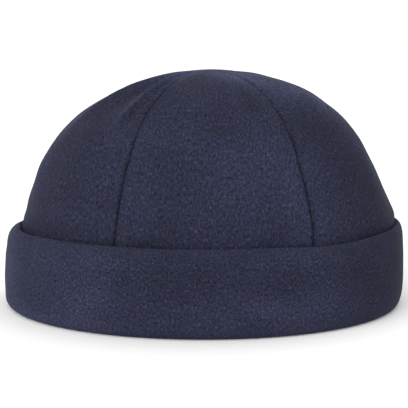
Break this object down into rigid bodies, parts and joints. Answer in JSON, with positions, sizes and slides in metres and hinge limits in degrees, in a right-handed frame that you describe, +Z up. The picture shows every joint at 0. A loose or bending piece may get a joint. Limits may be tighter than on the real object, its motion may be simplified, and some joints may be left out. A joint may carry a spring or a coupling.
{
  "type": "brimless wool cap with turned-up cuff",
  "caption": "Brimless wool cap: a sewn dome of panels over a doubled, turned-up cuff, open underneath for the head.",
  "frame": {"origin": "on the surface that the cap rests on, under the middle of the cuff's outer oval", "axes": "+Z up through the crown, X along the head's length with the wearer's front towards -X, Y across the head with the wearer's left towards -Y"},
  "size_m": [0.214, 0.178, 0.124],
  "materials": {
    "crown_cloth": "navy wool melton, brushed",
    "cuff_cloth": "navy wool melton, brushed"
  },
  "bodies": {
    "root": {"crown_panel_left": "crown_cloth", "crown_panel_back_left": "crown_cloth", "crown_panel_back_right": "crown_cloth", "crown_panel_right": "crown_cloth", "crown_panel_front_right": "crown_cloth", "crown_panel_front_left": "crown_cloth", "cuff": "cuff_cloth"}
  },
  "joints": []
}
